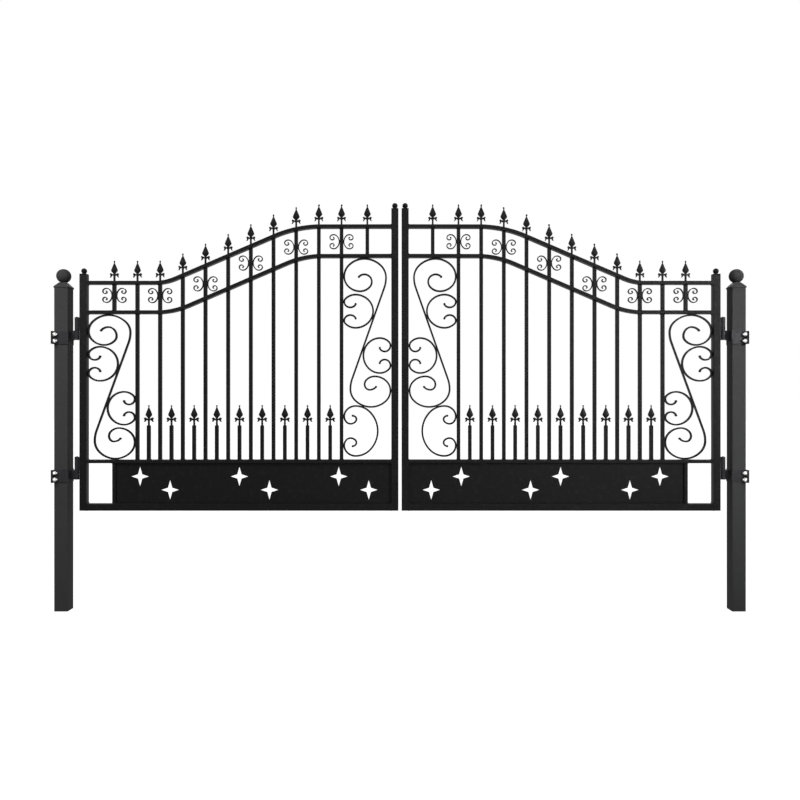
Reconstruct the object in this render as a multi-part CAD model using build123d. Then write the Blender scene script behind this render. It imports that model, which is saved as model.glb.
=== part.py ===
"""Double swing driveway gate in the wrought iron style, with its two posts.

Two mirrored leaves of welded square tube hang on square posts.  Each leaf has a level low run at
the hinge side, an S-shaped rise and a level high run at the meeting side, pickets, dog bars,
spear heads, forged scrolls and a kick panel of sheet with star-shaped cut-outs.

Frame: origin at the centre of the left post's foot, +X towards the right post, +Z up, +Y inwards
(away from the road).  All sizes are millimetres.
"""
from build123d import *
import math
import os

os.makedirs("parts", exist_ok=True)

# Opening and posts
LEAF_WIDTH = 1800.0         # over the two stiles of one leaf
LEAF_GAP = 18.0             # between the two meeting stiles
HINGE_GAP = 57.0            # from the post's inner face to the hinge stile
POST_SIDE = 77.0
POST_BELOW_LEAF = 563.0     # from the post's foot to the underside of the leaf

# Leaf frame
STILE_SIDE = 40.0
RAIL_HEIGHT = 20.0          # the kick rail and the two top rails are 40 x 20 tube laid flat
BAR_SIDE = 20.0             # pickets, uprights and dog bars
KICK_TOP = 288.0            # top of the kick rail above the leaf's underside
LOW_RAIL_Z = 1288.0         # centre of the upper rail in its low run, above the leaf's underside
RAIL_RISE = 319.0           # from the low run to the high run
RAIL_SPACING = 167.0        # between the centre lines of the two top rails
RISE_START = 484.0          # from the hinge side to the corner where the rise begins
RISE_ANGLE = 23.3           # degrees
SECOND_RISE_LAG = 7.0       # the second rail's rise starts this far beyond a parallel one's
LOW_BEND_R = 288.0          # centre line of the upper rail, at the foot of the rise
HIGH_BEND_R = 695.0         # centre line of the upper rail, at the head of the rise
HINGE_STILE_OVER = 46.0     # the stiles' tops above the upper rail's centre line
MEETING_STILE_OVER = 96.5
POST_UNDER = 32.0           # the post's top below the upper rail's low run

# Infill
PICKET_COUNT = 10
SCROLL_BAY = 272.2          # clear width between a stile and the picket nearest to it
KICK_BAR_U = 191.5          # centre of the kick bar, in line with the short upright above it
DOG_BAR_TOP = 481.0         # top of the dog bars above the leaf's underside
PANEL_THICKNESS = 2.0
STAR_WIDTH = 98.0
STAR_HEIGHT = 110.0
STAR_HOLLOW = 12.0          # each hollow lies this far off both of the star's axes
STAR_PAIRS = 3
STAR_PAIR_WIDTH = 170.0     # between the middles of the two stars of a pair
STAR_STAGGER = 38.0         # each star's height above or below the panel's middle
STAR_HINGE_END = 220.5      # from the panel's hinge end to the middle of the first pair
STAR_MEETING_END = 213.0    # from the middle of the last pair to the panel's meeting end

# Forged scrolls
SCROLL_BAR = 10.0
SCROLL_DEPTH = 12.0
UPPER_SHORT = 25.0          # the upper volute stops this far short of the bay's other side
LOWER_SHORT = 35.0
HINGE_UPPER_VOLUTE = 169.0  # heights of the volutes over their centre lines
MEETING_UPPER_VOLUTE = 184.0
LOWER_VOLUTE = 173.0
S_BEND_R = 170.0            # where a volute runs into the long diagonal
HINGE_UPPER_C = 193.0       # heights of the C-scrolls over their centre lines
HINGE_LOWER_C = 186.0
MEETING_UPPER_C = 188.0
MEETING_LOWER_C = 198.0
C_CLEAR = 9.0               # between a C-scroll and the volute it doesn't touch
LARGE_C_HEIGHT = 283.0
LARGE_C_WIDTH = 190.0
LARGE_C_UP = 15.0           # the large C-scroll's underside above the kick rail
SMALL_BAR = 5.5
SMALL_DEPTH = 12.0
SMALL_HEIGHT = 80.0         # over the centre line
SMALL_WIDTH = 52.5
SMALL_SHIFTS = [13.0, 11.0, -9.0, -2.0, -13.0, -2.0]    # each pair off the rails' middle
WELD_GAP = 0.2              # a scroll stands this far off what it is welded to

# Spear heads
SPEAR_WIDTH = 39.0
SPEAR_THICKNESS = 12.0
SPEAR_STEM = 10.0
SPEAR_STEM_DEPTH = 8.0
STEM_TOP = 46.0             # where the stem ends inside the blade
PETAL_DEPTH = 8.0

# Hinges and clamps
PIVOT_OUT = 21.0            # from the hinge stile to the hinge axis
BARREL_D = 25.0
PIN_D = 14.0
PIN_CLEARANCE = 0.1         # radial, in the leaf's knuckle
PIN_PROUD = 3.0
KNUCKLE_GAP = 0.4           # between the two knuckles
LEAF_KNUCKLE_H = 71.0
POST_KNUCKLE_H = 57.0
LUG_PLATE = 10.0            # thickness of the plates that carry the knuckles
UPPER_HINGE_Z = 1022.0      # split of the barrel above the leaf's underside
LOWER_HINGE_Z = 232.0
BAND_THICKNESS = 5.0
BAND_HEIGHT = 72.0
UPPER_BAND_TOP = -11.5      # from the barrel's split up to the top of the clamp's arms
LOWER_BAND_TOP = 2.0
WEB_TOP = -4.0              # from the split up to the top of the clamp's web and tongue
LUG_OUT = 30.0              # the clamp's lugs stand this far off the post's faces
CLAMP_BOLT_HOLE = 13.0
CLAMP_BOLT_PITCH = 36.0
CLAMP_BOLT_OUT = 15.0       # bolt centre off the post's face
CLAMP_PLATE = 5.0

# Caps
POST_CAP_OVERHANG = 3.0
POST_CAP_LIP = 8.0
POST_CAP_RISE = 25.5
POST_CAP_TOP = 38.0         # side of the flat the ball stands on
POST_BALL_D = 80.0
POST_BALL_SEAT_D = 24.0     # flat under the ball
STILE_CAP_PLATE = 4.0
STILE_BALL_D = 32.0
STILE_BALL_UP = 17.0        # ball centre above the cap plate
STILE_NECK_D = 22.0

# Derived places.  u runs from the hinge side of a leaf towards its meeting side.
POST_HALF = POST_SIDE / 2
LEAF_X = POST_HALF + HINGE_GAP
GATE_MID = LEAF_X + LEAF_WIDTH + LEAF_GAP / 2
LEAF_Z = POST_BELOW_LEAF
HALF_STILE = STILE_SIDE / 2
HALF_RAIL = RAIL_HEIGHT / 2
HALF_BAR = BAR_SIDE / 2
PIVOT_X = LEAF_X - PIVOT_OUT
HINGE_STILE_TOP = LOW_RAIL_Z + HINGE_STILE_OVER
MEETING_STILE_TOP = LOW_RAIL_Z + RAIL_RISE + MEETING_STILE_OVER
POST_HEIGHT = POST_BELOW_LEAF + LOW_RAIL_Z - POST_UNDER
INNER_U0 = STILE_SIDE
INNER_U1 = LEAF_WIDTH - STILE_SIDE
KICK_RAIL_Z0 = KICK_TOP - RAIL_HEIGHT
FAR_BELOW = -500.0
FAR_ABOVE = MEETING_STILE_TOP + 500.0
PICKET_START = INNER_U0 + SCROLL_BAY + HALF_BAR
PICKET_END = INNER_U1 - SCROLL_BAY - HALF_BAR
PICKET_PITCH = (PICKET_END - PICKET_START) / (PICKET_COUNT - 1)
PICKETS = [PICKET_START + PICKET_PITCH * i for i in range(PICKET_COUNT)]
MEETING_UPRIGHT_U = INNER_U1 - SCROLL_BAY / 2
UPRIGHTS = [KICK_BAR_U] + PICKETS + [MEETING_UPRIGHT_U]


def block(u0, u1, y0, y1, z0, z1):
    """A plain bar between six faces, in the left leaf's own frame."""
    size = Box(u1 - u0, y1 - y0, z1 - z0)
    return Pos((u0 + u1) / 2, (y0 + y1) / 2, (z0 + z1) / 2) * size


def upright(u, z0, z1, side=BAR_SIDE):
    return block(u - side / 2, u + side / 2, -side / 2, side / 2, z0, z1)


def standing(face, depth):
    """A flat outline drawn in (u, z), stood up and given its depth about the leaf's plane."""
    return extrude(Plane.XZ * face, amount=depth / 2, both=True)


def tiers(outline, levels):
    """A flat-sided form through one outline at several heights, given as (height, scale)."""
    rings = []
    for z, scale in levels:
        rings.append([(x * scale, y * scale, z) for x, y in outline])
    sides = [rings[0], rings[-1]]
    for low, high in zip(rings, rings[1:]):
        for i in range(len(outline)):
            sides.append([low[i - 1], low[i], high[i], high[i - 1]])
    return Solid(Shell([make_face(Polyline(*side, close=True)) for side in sides]))


def diamond(depth):
    """An outline one wide from corner to corner, and `depth` deep."""
    return [(-0.5, 0), (0, -depth / 2), (0.5, 0), (0, depth / 2)]


def arc(centre, radius, a0, a1):
    """An arc about centre from angle a0 to angle a1, in degrees."""
    mid = math.radians((a0 + a1) / 2)
    points = []
    for a in (math.radians(a0), mid, math.radians(a1)):
        points.append((centre[0] + radius * math.cos(a), centre[1] + radius * math.sin(a)))
    return ThreePointArc(*points)


def bent_bar(start, heading, runs, thickness):
    """The outline of a bar of even thickness along tangent straights and arcs.

    runs holds (length, None) for a straight and (radius, turn) for an arc, where a positive turn
    is anticlockwise, in degrees.
    """
    half = thickness / 2
    left = []
    right = []
    x, z = start
    for size, turn in runs:
        a = math.radians(heading)
        if turn is None:
            nx = x + size * math.cos(a)
            nz = z + size * math.sin(a)
            for side, edges in ((1, left), (-1, right)):
                ox = -side * half * math.sin(a)
                oz = side * half * math.cos(a)
                edges.append(Line((x + ox, z + oz), (nx + ox, nz + oz)))
        else:
            sign = math.copysign(1, turn)
            centre = (x - sign * size * math.sin(a), z + sign * size * math.cos(a))
            a0 = heading - 90 * sign
            a1 = a0 + turn
            left.append(arc(centre, size - sign * half, a0, a1))
            right.append(arc(centre, size + sign * half, a0, a1))
            nx = centre[0] + size * math.cos(math.radians(a1))
            nz = centre[1] + size * math.sin(math.radians(a1))
            heading += turn
        x, z = nx, nz
    caps = [Line(left[0] @ 0, right[0] @ 0), Line(left[-1] @ 1, right[-1] @ 1)]
    return make_face(left + right + caps)


def quarter(across, along):
    """Two tangent arcs that turn a right angle: radii for a bend that runs `along` its first
    heading and `across` it."""
    s = math.sin(math.radians(45))
    c = 1 - s
    first = (s * along - c * across) / (s * s - c * c)
    second = (s * across - c * along) / (s * s - c * c)
    return first, second


def through_turns(points, vertical_first, spin):
    """Runs of a curl that turns a right angle from each point to the next."""
    runs = []
    vertical = vertical_first
    for (u0, z0), (u1, z1) in zip(points, points[1:]):
        du = abs(u1 - u0)
        dz = abs(z1 - z0)
        along, across = (dz, du) if vertical else (du, dz)
        first, second = quarter(across, along)
        runs.append((first, 45 * spin))
        runs.append((second, 45 * spin))
        vertical = not vertical
    return runs


# ---- the two top rails ----

def rail_runs(low_r, high_r, start):
    """Runs of a top rail's centre line across the whole leaf, from stile to stile."""
    angle = math.radians(RISE_ANGLE)
    low_t = low_r * math.tan(angle / 2)
    high_t = high_r * math.tan(angle / 2)
    slope = RAIL_RISE / math.sin(angle)
    head = start + RAIL_RISE / math.tan(angle)
    return [
        (start - low_t - INNER_U0, None),
        (low_r, RISE_ANGLE),
        (slope - low_t - high_t, None),
        (high_r, -RISE_ANGLE),
        (INNER_U1 - head - high_t, None),
    ]


def rail_pose(drop):
    """Bend radii, rise start and height of the rail that runs `drop` below the upper rail."""
    shift = drop * math.tan(math.radians(RISE_ANGLE / 2))
    if drop > RAIL_SPACING / 2:
        shift += SECOND_RISE_LAG
    return LOW_BEND_R + drop, HIGH_BEND_R - drop, RISE_START + shift, LOW_RAIL_Z - drop


def top_rail(drop):
    low_r, high_r, start, z = rail_pose(drop)
    face = bent_bar((INNER_U0, z), 0, rail_runs(low_r, high_r, start), RAIL_HEIGHT)
    return standing(face, STILE_SIDE)


def rail_height(drop, u):
    """Height at u of the line that runs `drop` below the upper rail's centre line."""
    low_r, high_r, start, z = rail_pose(drop)
    angle = math.radians(RISE_ANGLE)
    low_t = low_r * math.tan(angle / 2)
    high_t = high_r * math.tan(angle / 2)
    head = start + RAIL_RISE / math.tan(angle)
    if u < start - low_t:
        return z
    if u < start + low_t * math.cos(angle):
        return z + low_r - math.sqrt(low_r ** 2 - (u - start + low_t) ** 2)
    if u < head - high_t * math.cos(angle):
        return z + (u - start) * math.tan(angle)
    if u < head + high_t:
        return z + RAIL_RISE - high_r + math.sqrt(high_r ** 2 - (head + high_t - u) ** 2)
    return z + RAIL_RISE


def beyond_line(drop, far):
    """All the space between the line `drop` below the upper rail and the height `far`."""
    low_r, high_r, start, z = rail_pose(drop)
    angle = math.radians(RISE_ANGLE)
    low_t = low_r * math.tan(angle / 2)
    high_t = high_r * math.tan(angle / 2)
    head = start + RAIL_RISE / math.tan(angle)
    low_c = (start - low_t, z + low_r)
    high_c = (head + high_t, z + RAIL_RISE - high_r)
    low = arc(low_c, low_r, -90, -90 + RISE_ANGLE)
    high = arc(high_c, high_r, 90 + RISE_ANGLE, 90)
    edges = [
        Line((0, z), low @ 0),
        low,
        Line(low @ 1, high @ 0),
        high,
        Line(high @ 1, (LEAF_WIDTH, z + RAIL_RISE)),
        Line((LEAF_WIDTH, z + RAIL_RISE), (LEAF_WIDTH, far)),
        Line((LEAF_WIDTH, far), (0, far)),
        Line((0, far), (0, z)),
    ]
    return standing(make_face(edges), STILE_SIDE * 2)


ABOVE_SECOND_UNDERSIDE = beyond_line(RAIL_SPACING + HALF_RAIL, FAR_ABOVE)
BELOW_SECOND_TOP = beyond_line(RAIL_SPACING - HALF_RAIL, FAR_BELOW)
ABOVE_UPPER_UNDERSIDE = beyond_line(HALF_RAIL, FAR_ABOVE)
BELOW_UPPER_TOP = beyond_line(-HALF_RAIL, FAR_BELOW)


# ---- frame and uprights ----

def hinge_stile():
    return upright(HALF_STILE, 0, HINGE_STILE_TOP, STILE_SIDE)


def meeting_stile():
    return upright(LEAF_WIDTH - HALF_STILE, 0, MEETING_STILE_TOP, STILE_SIDE)


def bottom_rail():
    return block(INNER_U0, INNER_U1, -HALF_STILE, HALF_STILE, 0, STILE_SIDE)


def kick_rail():
    return block(INNER_U0, INNER_U1, -HALF_STILE, HALF_STILE, KICK_RAIL_Z0, KICK_TOP)


def kick_bar():
    """The upright that closes the panel's hinge side and leaves the small window open."""
    return upright(KICK_BAR_U, STILE_SIDE, KICK_RAIL_Z0)


def pickets():
    """Long bars from the kick rail to the second rail, cut to the rail's curve."""
    bars = []
    for u in PICKETS:
        bars.append(upright(u, KICK_TOP, FAR_ABOVE) - ABOVE_SECOND_UNDERSIDE)
    return bars


def rail_uprights():
    """Short bars between the two top rails, one over each picket and one in each scroll bay."""
    bars = []
    for u in UPRIGHTS:
        bar = upright(u, 0, FAR_ABOVE) - BELOW_SECOND_TOP
        bars.append(bar - ABOVE_UPPER_UNDERSIDE)
    return bars


def dog_bars():
    return [upright(u + PICKET_PITCH / 2, KICK_TOP, DOG_BAR_TOP) for u in PICKETS[:-1]]


# ---- spear heads ----

# Widths of the forged parts at their heights above the seat.
BLADE = [(38, 10), (46, 18), (55, 35), (59, 38), (61, SPEAR_WIDTH), (64, 38), (99, 9)]
BALL_TIP = [(97, 6), (103, 6), (107, 8.5), (112.5, 8.5), (116, 4)]
NAIL_TIP = [(97, 6.5), (107, 6.5), (109.5, 9.5), (114.5, 9.5)]
STEM_BEAD = [(4.5, 8), (8, 13), (11, 13), (14.5, 8)]

# Outlines of the flat side petals: from the stem along the under side to the drooping point,
# up the hollow outer edge, which is an arc through its middle point, and back over the top.
RAIL_PETAL = [(3, 28), (11.5, 33), (20, 21), (26, 21), (22, 31), (26, 40), (21, 46), (3, 38)]
DOG_PETAL = [(3, 26), (11.5, 31), (20, 20.5), (31, 19.5), (24, 29), (29, 39), (21, 46), (3, 36)]


def petal(points):
    """One of the two flat petals that leave the stem, rise to a blunt corner and droop."""
    under = Polyline(*points[:4])
    outer = ThreePointArc(*points[3:6])
    over = Polyline(*points[5:], points[0])
    return standing(make_face([under, outer, over]), PETAL_DEPTH)


def spear_head(foot, points, tip):
    """A spear head whose seat is at z = 0; the stem runs on down to `foot`."""
    half = SPEAR_STEM / 2
    stem = block(-half, half, -SPEAR_STEM_DEPTH / 2, SPEAR_STEM_DEPTH / 2, foot, STEM_TOP)
    blade = tiers(diamond(SPEAR_THICKNESS / SPEAR_WIDTH), BLADE)
    side = petal(points)
    return stem + blade + tiers(diamond(1), tip) + side + mirror(side, about=Plane.YZ)


def rail_spears():
    """One spear head on the upper rail over each upright, its stem cut to the rail's curve."""
    head = spear_head(-HALF_RAIL, RAIL_PETAL, BALL_TIP)
    heads = []
    for u in UPRIGHTS:
        seat = rail_height(-HALF_RAIL, u)
        heads.append(Pos(u, 0, seat) * head - BELOW_UPPER_TOP)
    return heads


def dog_bar_spears():
    """One spear head with a bead on its stem on each dog bar."""
    head = spear_head(0, DOG_PETAL, NAIL_TIP) + tiers(diamond(1), STEM_BEAD)
    return [Pos(u + PICKET_PITCH / 2, 0, DOG_BAR_TOP) * head for u in PICKETS[:-1]]


# ---- kick panel ----

def star(u, z):
    """A four-pointed star."""
    w = STAR_WIDTH / 2
    h = STAR_HEIGHT / 2
    s = STAR_HOLLOW
    outline = Polyline(
        (w, 0), (s, s), (0, h), (-s, s), (-w, 0), (-s, -s), (0, -h), (s, -s), close=True
    )
    return Pos(u, z) * make_face(outline)


def kick_panel():
    u0 = KICK_BAR_U + HALF_BAR
    middle = (STILE_SIDE + KICK_RAIL_Z0) / 2
    face = Pos((u0 + INNER_U1) / 2, middle) * Rectangle(INNER_U1 - u0, KICK_RAIL_Z0 - STILE_SIDE)
    first = u0 + STAR_HINGE_END
    pitch = (INNER_U1 - STAR_MEETING_END - first) / (STAR_PAIRS - 1)
    for i in range(STAR_PAIRS):
        pair = first + pitch * i
        face -= star(pair - STAR_PAIR_WIDTH / 2, middle + STAR_STAGGER)
        face -= star(pair + STAR_PAIR_WIDTH / 2, middle - STAR_STAGGER)
    return standing(face, PANEL_THICKNESS)


# ---- scrolls ----

# Turning points of one end of a C-scroll, as shares of its width from the back and of its height
# from the end: crest, tip, underside of the curl and the curl's free end.
C_CURL = [(0.61, 0), (1, 0.215), (0.79, 0.385), (0.605, 0.27)]
LARGE_C_CURL = [(0.66, 0), (1, 0.21), (0.81, 0.357), (0.636, 0.264), (0.758, 0.195)]
SMALL_CURL = [(0.61, 0), (1, 0.206), (0.75, 0.368), (0.553, 0.25), (0.68, 0.187)]

# Turning points of a volute, as shares of its width from the diagonal's side and of its height
# from its crest: where the diagonal arrives, crest, far side and foot, then the curl's inner
# side, inner crest and end.
UPPER_TURNS = [(0, 0.58), (0.52, 0), (1, 0.545), (0.62, 1)]
HINGE_UPPER = UPPER_TURNS + [(0.33, 0.70), (0.525, 0.40), (0.70, 0.53)]
MEETING_UPPER = UPPER_TURNS + [(0.34, 0.705), (0.52, 0.48), (0.65, 0.57)]
LOWER_TURNS = [(0, 0.585), (0.515, 0), (1, 0.535), (0.606, 1)]
LOWER = LOWER_TURNS + [(0.355, 0.735), (0.48, 0.56), (0.64, 0.67)]

BACK_STEPS = 6


def c_scroll(back, tip, low, high, curl=C_CURL, bar=SCROLL_BAR, depth=SCROLL_DEPTH):
    """A C-scroll between the centre line's back and tip, and between its lowest and highest."""
    width = tip - back
    height = high - low
    middle = (low + high) / 2
    upper = [(back, middle)]
    for share_u, share_z in curl:
        upper.append((back + width * share_u, high - height * share_z))
    spin = -1 if width > 0 else 1
    runs = through_turns(upper, True, spin)
    top = bent_bar((back, middle), 90, runs, bar)
    mirrored = [(size, -turn) for size, turn in runs]
    bottom = bent_bar((back, middle), -90, mirrored, bar)
    return standing(top + bottom, depth)


def scroll_line(face_at, side):
    """Centre line of a scroll whose edge stands WELD_GAP off a face; side is +1 or -1."""
    return face_at + side * (SCROLL_BAR / 2 + WELD_GAP)


def s_scroll(left, right, low, high, volute, volute_height):
    """An S-scroll: a volute at each end of a long diagonal, and the diagonal's middle and lean.

    The upper volute starts from the left, the lower one from the right, and each stops short of
    the other side.
    """
    upper_width = right - left - UPPER_SHORT
    lower_width = right - left - LOWER_SHORT
    upper = [(left + upper_width * (1 - a), high - volute_height * b) for a, b in volute]
    lower = [(right - lower_width * (1 - a), low + LOWER_VOLUTE * b) for a, b in LOWER]
    # The diagonal is the inner tangent of two bends of radius S_BEND_R with upright ends.
    du = lower[0][0] - upper[0][0] + 2 * S_BEND_R
    dz = upper[0][1] - lower[0][1]
    reach = math.hypot(du, dz)
    straight = math.sqrt(reach ** 2 - (2 * S_BEND_R) ** 2)
    lean = math.degrees(math.asin(2 * S_BEND_R / reach) - math.atan2(du, dz))
    upper_half = [(straight / 2, None), (S_BEND_R, lean)] + through_turns(upper, True, 1)
    lower_half = [(straight / 2, None), (S_BEND_R, lean)] + through_turns(lower, True, 1)
    middle = ((upper[0][0] + lower[0][0]) / 2, (upper[0][1] + lower[0][1]) / 2)
    one = bent_bar(middle, 90 - lean, upper_half, SCROLL_BAR)
    two = bent_bar(middle, -90 - lean, lower_half, SCROLL_BAR)
    return standing(one + two, SCROLL_DEPTH), middle, lean


def c_beside(tip, low, height, middle, lean):
    """A C-scroll from its tip's line to the S-scroll's diagonal, which its back just clears."""
    half = height / 2
    slant = math.radians(lean)
    side = 1 if tip < middle[0] else -1
    line_u = middle[0] + (low + half - middle[1]) * math.tan(slant)
    back = line_u
    # The back's bend depends on the scroll's width, so its place is found in a few steps.
    for step in range(BACK_STEPS):
        bend, _ = quarter(abs(back - tip) * C_CURL[0][0], half)
        clear = (bend + SCROLL_BAR + WELD_GAP) / math.cos(slant) - bend
        back = line_u - side * clear
    return c_scroll(back, tip, low, low + height)


def hinge_side_scrolls():
    """One S-scroll and two C-scrolls between the hinge stile and the first picket."""
    left = scroll_line(INNER_U0, 1)
    right = scroll_line(PICKETS[0] - HALF_BAR, -1)
    low = scroll_line(KICK_TOP, 1)
    high = scroll_line(LOW_RAIL_Z - RAIL_SPACING - HALF_RAIL, -1)
    ess, middle, lean = s_scroll(left, right, low, high, HINGE_UPPER, HINGE_UPPER_VOLUTE)
    upper_low = high - HINGE_UPPER_VOLUTE - SCROLL_BAR - WELD_GAP - HINGE_UPPER_C
    lower_low = low + LOWER_VOLUTE + SCROLL_BAR + C_CLEAR
    upper_c = c_beside(left, upper_low, HINGE_UPPER_C, middle, lean)
    lower_c = c_beside(right, lower_low, HINGE_LOWER_C, middle, lean)
    return [ess, upper_c, lower_c]


def meeting_side_scrolls():
    """One S-scroll and three C-scrolls between the last picket and the meeting stile."""
    left = scroll_line(PICKETS[-1] + HALF_BAR, 1)
    right = scroll_line(INNER_U1, -1)
    floor = scroll_line(KICK_TOP, 1) + LARGE_C_UP
    high = scroll_line(LOW_RAIL_Z + RAIL_RISE - RAIL_SPACING - HALF_RAIL, -1)
    big_top = floor + LARGE_C_HEIGHT
    big_c = c_scroll(left + LARGE_C_WIDTH, left, floor, big_top, LARGE_C_CURL)
    # The S-scroll's foot rests beside the large C-scroll's top, where their bends meet.
    lower_width = right - left - LOWER_SHORT
    big_r = quarter(LARGE_C_WIDTH * LARGE_C_CURL[0][0], LARGE_C_HEIGHT / 2)[1]
    ess_r = quarter(lower_width * LOWER[1][0], LOWER_VOLUTE * LOWER[0][1])[1]
    big_u = left + LARGE_C_WIDTH * (1 - LARGE_C_CURL[0][0])
    ess_u = right - lower_width * (1 - LOWER[1][0])
    apart = big_r + ess_r + SCROLL_BAR + WELD_GAP
    low = big_top - big_r - ess_r + math.sqrt(apart ** 2 - (ess_u - big_u) ** 2)
    ess, middle, lean = s_scroll(left, right, low, high, MEETING_UPPER, MEETING_UPPER_VOLUTE)
    upper_low = high - MEETING_UPPER_VOLUTE - SCROLL_BAR - C_CLEAR - MEETING_UPPER_C
    lower_low = low + LOWER_VOLUTE + SCROLL_BAR + C_CLEAR
    upper_c = c_beside(left, upper_low, MEETING_UPPER_C, middle, lean)
    lower_c = c_beside(right, lower_low, MEETING_LOWER_C, middle, lean)
    return [ess, upper_c, lower_c, big_c]


def small_scrolls():
    """Pairs of small C-scrolls back to back on every other upright between the top rails."""
    scrolls = []
    for u, shift in zip(UPRIGHTS[::2], SMALL_SHIFTS):
        middle = (rail_height(0, u) + rail_height(RAIL_SPACING, u)) / 2 + shift
        low = middle - SMALL_HEIGHT / 2
        high = middle + SMALL_HEIGHT / 2
        back = HALF_BAR + SMALL_BAR / 2 + WELD_GAP
        for side in (1, -1):
            tip = u + side * (back + SMALL_WIDTH)
            scroll = c_scroll(u + side * back, tip, low, high, SMALL_CURL, SMALL_BAR, SMALL_DEPTH)
            scrolls.append(scroll)
    return scrolls


# ---- stile caps and leaf knuckles ----

def stile_cap(u, top):
    """A flat cap plate with a small ball finial on a short neck."""
    plate = Box(STILE_SIDE, STILE_SIDE, STILE_CAP_PLATE)
    neck = Pos(0, 0, STILE_BALL_UP / 2) * Cylinder(STILE_NECK_D / 2, STILE_BALL_UP)
    ball = Pos(0, 0, STILE_BALL_UP) * Sphere(STILE_BALL_D / 2)
    cap = Pos(0, 0, STILE_CAP_PLATE / 2) * plate + Pos(0, 0, STILE_CAP_PLATE) * (neck + ball)
    return Pos(u, 0, top) * cap


def stile_caps():
    hinge = stile_cap(HALF_STILE, HINGE_STILE_TOP)
    meeting = stile_cap(LEAF_WIDTH - HALF_STILE, MEETING_STILE_TOP)
    return [hinge, meeting]


def leaf_knuckle(split):
    """The leaf's half of a barrel hinge, above the split, welded to the stile by its lug."""
    z0 = split + KNUCKLE_GAP / 2
    z1 = split + LEAF_KNUCKLE_H
    middle = (z0 + z1) / 2
    barrel = Pos(-PIVOT_OUT, 0, middle) * Cylinder(BARREL_D / 2, z1 - z0)
    lug = block(-PIVOT_OUT, 0, -LUG_PLATE / 2, LUG_PLATE / 2, z0, z1)
    bore = Pos(-PIVOT_OUT, 0, middle) * Cylinder(PIN_D / 2 + PIN_CLEARANCE, z1 - z0 + 2)
    return barrel + lug - bore


def hinge_knuckles():
    return [leaf_knuckle(UPPER_HINGE_Z), leaf_knuckle(LOWER_HINGE_Z)]


# ---- posts, caps and hinge clamps, in the left post's own frame ----

def post():
    return Pos(0, 0, POST_HEIGHT / 2) * Box(POST_SIDE, POST_SIDE, POST_HEIGHT)


def post_cap():
    """A cast cap: a square lip over the post, a low pyramid and a ball finial."""
    side = POST_SIDE + 2 * POST_CAP_OVERHANG
    square = [(-0.5, -0.5), (0.5, -0.5), (0.5, 0.5), (-0.5, 0.5)]
    top = POST_CAP_LIP + POST_CAP_RISE
    foot = tiers(square, [(0, side), (POST_CAP_LIP, side), (top, POST_CAP_TOP)])
    radius = POST_BALL_D / 2
    seat = math.degrees(math.acos(POST_BALL_SEAT_D / POST_BALL_D))
    ball = Sphere(radius, arc_size1=-seat)
    ball_z = top + radius * math.sin(math.radians(seat))
    return Pos(0, 0, POST_HEIGHT) * (foot + Pos(0, 0, ball_z) * ball)


def clamp_holes(z):
    """Four bolt holes through the lugs and the back plate, about the height z."""
    length = 4 * (BAND_THICKNESS + CLAMP_PLATE)
    holes = []
    for side in (-1, 1):
        for step in (-0.5, 0.5):
            y = side * (POST_HALF + CLAMP_BOLT_OUT)
            place = Pos(-POST_HALF, y, z + step * CLAMP_BOLT_PITCH)
            holes.append(place * Rot(0, 90, 0) * Cylinder(CLAMP_BOLT_HOLE / 2, length))
    return holes


def hinge_clamp(split, band_top):
    """A two-part clamp round the post with the hinge's pin, as [band, back plate].

    The band is a U over the post's inner side.  Its arms turn out as lugs, and its web carries
    the lower knuckle and the pin on a welded tongue.  The back plate lies on the post's outer
    face and is drawn to the lugs by four bolts.
    """
    z_top = split + band_top
    z = z_top - BAND_HEIGHT / 2
    z0 = z_top - BAND_HEIGHT
    out = POST_HALF + BAND_THICKNESS
    lug = POST_HALF + LUG_OUT
    knuckle_top = split - KNUCKLE_GAP / 2
    knuckle_low = split - POST_KNUCKLE_H
    web_top = split + WEB_TOP
    band = block(POST_HALF, out, -out, out, knuckle_low, web_top)
    for side in (-1, 1):
        y0, y1 = sorted((side * POST_HALF, side * out))
        band += block(-POST_HALF, POST_HALF, y0, y1, z0, z_top)
        y0, y1 = sorted((side * POST_HALF, side * lug))
        band += block(-POST_HALF, -POST_HALF + BAND_THICKNESS, y0, y1, z0, z_top)
    tongue = block(out, PIVOT_X, -LUG_PLATE / 2, LUG_PLATE / 2, knuckle_low, web_top)
    knuckle_mid = (knuckle_low + knuckle_top) / 2
    knuckle = Pos(PIVOT_X, 0, knuckle_mid) * Cylinder(BARREL_D / 2, knuckle_top - knuckle_low)
    pin_top = split + LEAF_KNUCKLE_H + PIN_PROUD
    pin_mid = (knuckle_mid + pin_top) / 2
    pin = Pos(PIVOT_X, 0, pin_mid) * Cylinder(PIN_D / 2, pin_top - knuckle_mid)
    plate = block(-POST_HALF - CLAMP_PLATE, -POST_HALF, -lug, lug, z0, z_top)
    band = band + tongue + knuckle + pin
    for hole in clamp_holes(z):
        band -= hole
        plate -= hole
    return [band, plate]


# ---- write every piece ----

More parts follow.
